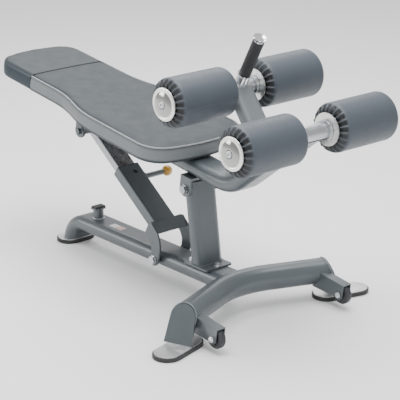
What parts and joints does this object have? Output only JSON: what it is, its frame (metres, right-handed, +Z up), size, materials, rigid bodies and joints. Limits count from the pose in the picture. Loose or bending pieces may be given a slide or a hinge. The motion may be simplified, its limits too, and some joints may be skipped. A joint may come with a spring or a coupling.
{
  "type": "decline sit-up bench",
  "caption": "Adjustable sit-up bench: padded seat on a tilting frame with foam leg rollers and an assist handle, set by a telescopic strut with a pull pin.",
  "frame": {"origin": "on the floor, midway between the head end of the pad and the front of the lower rollers, on the middle plane", "axes": "+X towards the leg rollers, +Y across the bench, +Z up"},
  "size_m": [1.438, 0.8506, 0.8755],
  "materials": {
    "frame_paint": "semi-gloss blue-grey powder coat",
    "pad_vinyl": "grained vinyl, grey",
    "head_vinyl": "grained vinyl, darker blue-grey",
    "roller_vinyl": "smooth vinyl over foam",
    "board_wood": "black-stained plywood",
    "zinc_steel": "zinc-plated fasteners",
    "foot_steel": "plain plated plate",
    "bright_metal": "turned aluminium",
    "chrome_trim": "polished",
    "black_rubber": "matt",
    "black_plastic": "moulded",
    "knob_plastic": "glossy amber",
    "label_film": "blank film",
    "tyre_rubber": "matt"
  },
  "bodies": {
    "base": {"main_rail": "frame_paint", "cross_tube": "frame_paint", "end_plates": "frame_paint", "strut_pivot_sleeve": "frame_paint", "foot_plates": "foot_steel", "foot_soles": "black_rubber", "post": "frame_paint", "post_base_plate": "frame_paint", "post_bolts": "zinc_steel", "hinge_sleeve": "frame_paint", "hinge_bushes": "black_plastic", "stop_stub": "frame_paint", "stop_cushion": "black_rubber", "rail_label": "label_film", "wheel_brackets": "frame_paint", "wheel_bolts": "zinc_steel"},
    "seat": {"pad_cushion": "pad_vinyl", "head_cover": "head_vinyl", "pad_board": "board_wood", "pad_cross_plates": "frame_paint", "pad_screws": "zinc_steel", "seat_frame_tube": "frame_paint", "frame_end_plug": "black_plastic", "roller_post": "frame_paint", "axle_sleeves": "chrome_trim", "axle_shafts": "zinc_steel", "roller_bolts": "zinc_steel", "roller_washers": "zinc_steel", "hinge_bracket": "frame_paint", "lug_bracket": "frame_paint", "hinge_bolt": "zinc_steel", "handle_bar": "chrome_trim", "handle_socket": "chrome_trim", "handle_grip": "black_rubber", "handle_end_cap": "chrome_trim"},
    "strut_outer": {"strut_outer_tube": "frame_paint", "strut_guide": "black_plastic", "strut_yoke": "frame_paint", "strut_pivot_bolt": "zinc_steel", "pin_housing": "zinc_steel", "pin_spring": "zinc_steel"},
    "strut_inner": {"strut_inner_tube": "frame_paint", "strut_inner_screws": "zinc_steel", "strut_inner_glide": "black_plastic", "strut_top_sleeve": "frame_paint", "strut_top_bolt": "zinc_steel"},
    "pull_pin": {"pin_plunger": "zinc_steel", "pin_knob": "knob_plastic"},
    "wheel_left": {"wheel_left_hub": "black_plastic", "wheel_left_tyre": "tyre_rubber"},
    "wheel_right": {"wheel_right_hub": "black_plastic", "wheel_right_tyre": "tyre_rubber"},
    "upper_roller_left": {"upper_roller_left_spool": "bright_metal", "upper_roller_left_foam": "roller_vinyl"},
    "upper_roller_right": {"upper_roller_right_spool": "bright_metal", "upper_roller_right_foam": "roller_vinyl"},
    "lower_roller_left": {"lower_roller_left_spool": "bright_metal", "lower_roller_left_foam": "roller_vinyl"},
    "lower_roller_right": {"lower_roller_right_spool": "bright_metal", "lower_roller_right_foam": "roller_vinyl"}
  },
  "joints": [
    {"name": "seat_tilt", "type": "hinge", "parent": "base", "child": "seat", "pos_m": [0.1765, 0, 0.357], "axis": [0, 1, 0], "range_deg": [-29, 0]},
    {"name": "strut_swing", "type": "hinge", "parent": "base", "child": "strut_outer", "pos_m": [0.027, 0, 0.085], "axis": [0, 1, 0], "range_deg": [-31.5, 0.2]},
    {"name": "strut_slide", "type": "slide", "parent": "strut_outer", "child": "strut_inner", "axis": [-0.8111, 0, 0.585], "range_m": [-0.158, 0.001]},
    {"name": "pin_pull", "type": "slide", "parent": "strut_outer", "child": "pull_pin", "axis": [0, 1, 0], "range_m": [0, 0.012], "stiffness_N_per_m": 400, "springref_m": -0.01, "deforming": ["pin_spring"]},
    {"name": "wheel_left_spin", "type": "hinge", "parent": "base", "child": "wheel_left", "pos_m": [0.5475, -0.2555, 0.046], "axis": [0, 1, 0], "continuous": true},
    {"name": "wheel_right_spin", "type": "hinge", "parent": "base", "child": "wheel_right", "pos_m": [0.5475, 0.2555, 0.046], "axis": [0, 1, 0], "continuous": true},
    {"name": "upper_roller_left_spin", "type": "hinge", "parent": "seat", "child": "upper_roller_left", "pos_m": [0.3502, -0.17, 0.7003], "axis": [0, 1, 0], "continuous": true},
    {"name": "upper_roller_right_spin", "type": "hinge", "parent": "seat", "child": "upper_roller_right", "pos_m": [0.3502, 0.17, 0.7003], "axis": [0, 1, 0], "continuous": true},
    {"name": "lower_roller_left_spin", "type": "hinge", "parent": "seat", "child": "lower_roller_left", "pos_m": [0.6461, -0.17, 0.6268], "axis": [0, 1, 0], "continuous": true},
    {"name": "lower_roller_right_spin", "type": "hinge", "parent": "seat", "child": "lower_roller_right", "pos_m": [0.6461, 0.17, 0.6268], "axis": [0, 1, 0], "continuous": true}
  ],
  "couplings": [
    {"joint": "strut_swing", "follows": "seat_tilt", "ratio": 1.072},
    {"joint": "strut_slide", "follows": "seat_tilt", "m_per_rad": 0.30958}
  ]
}
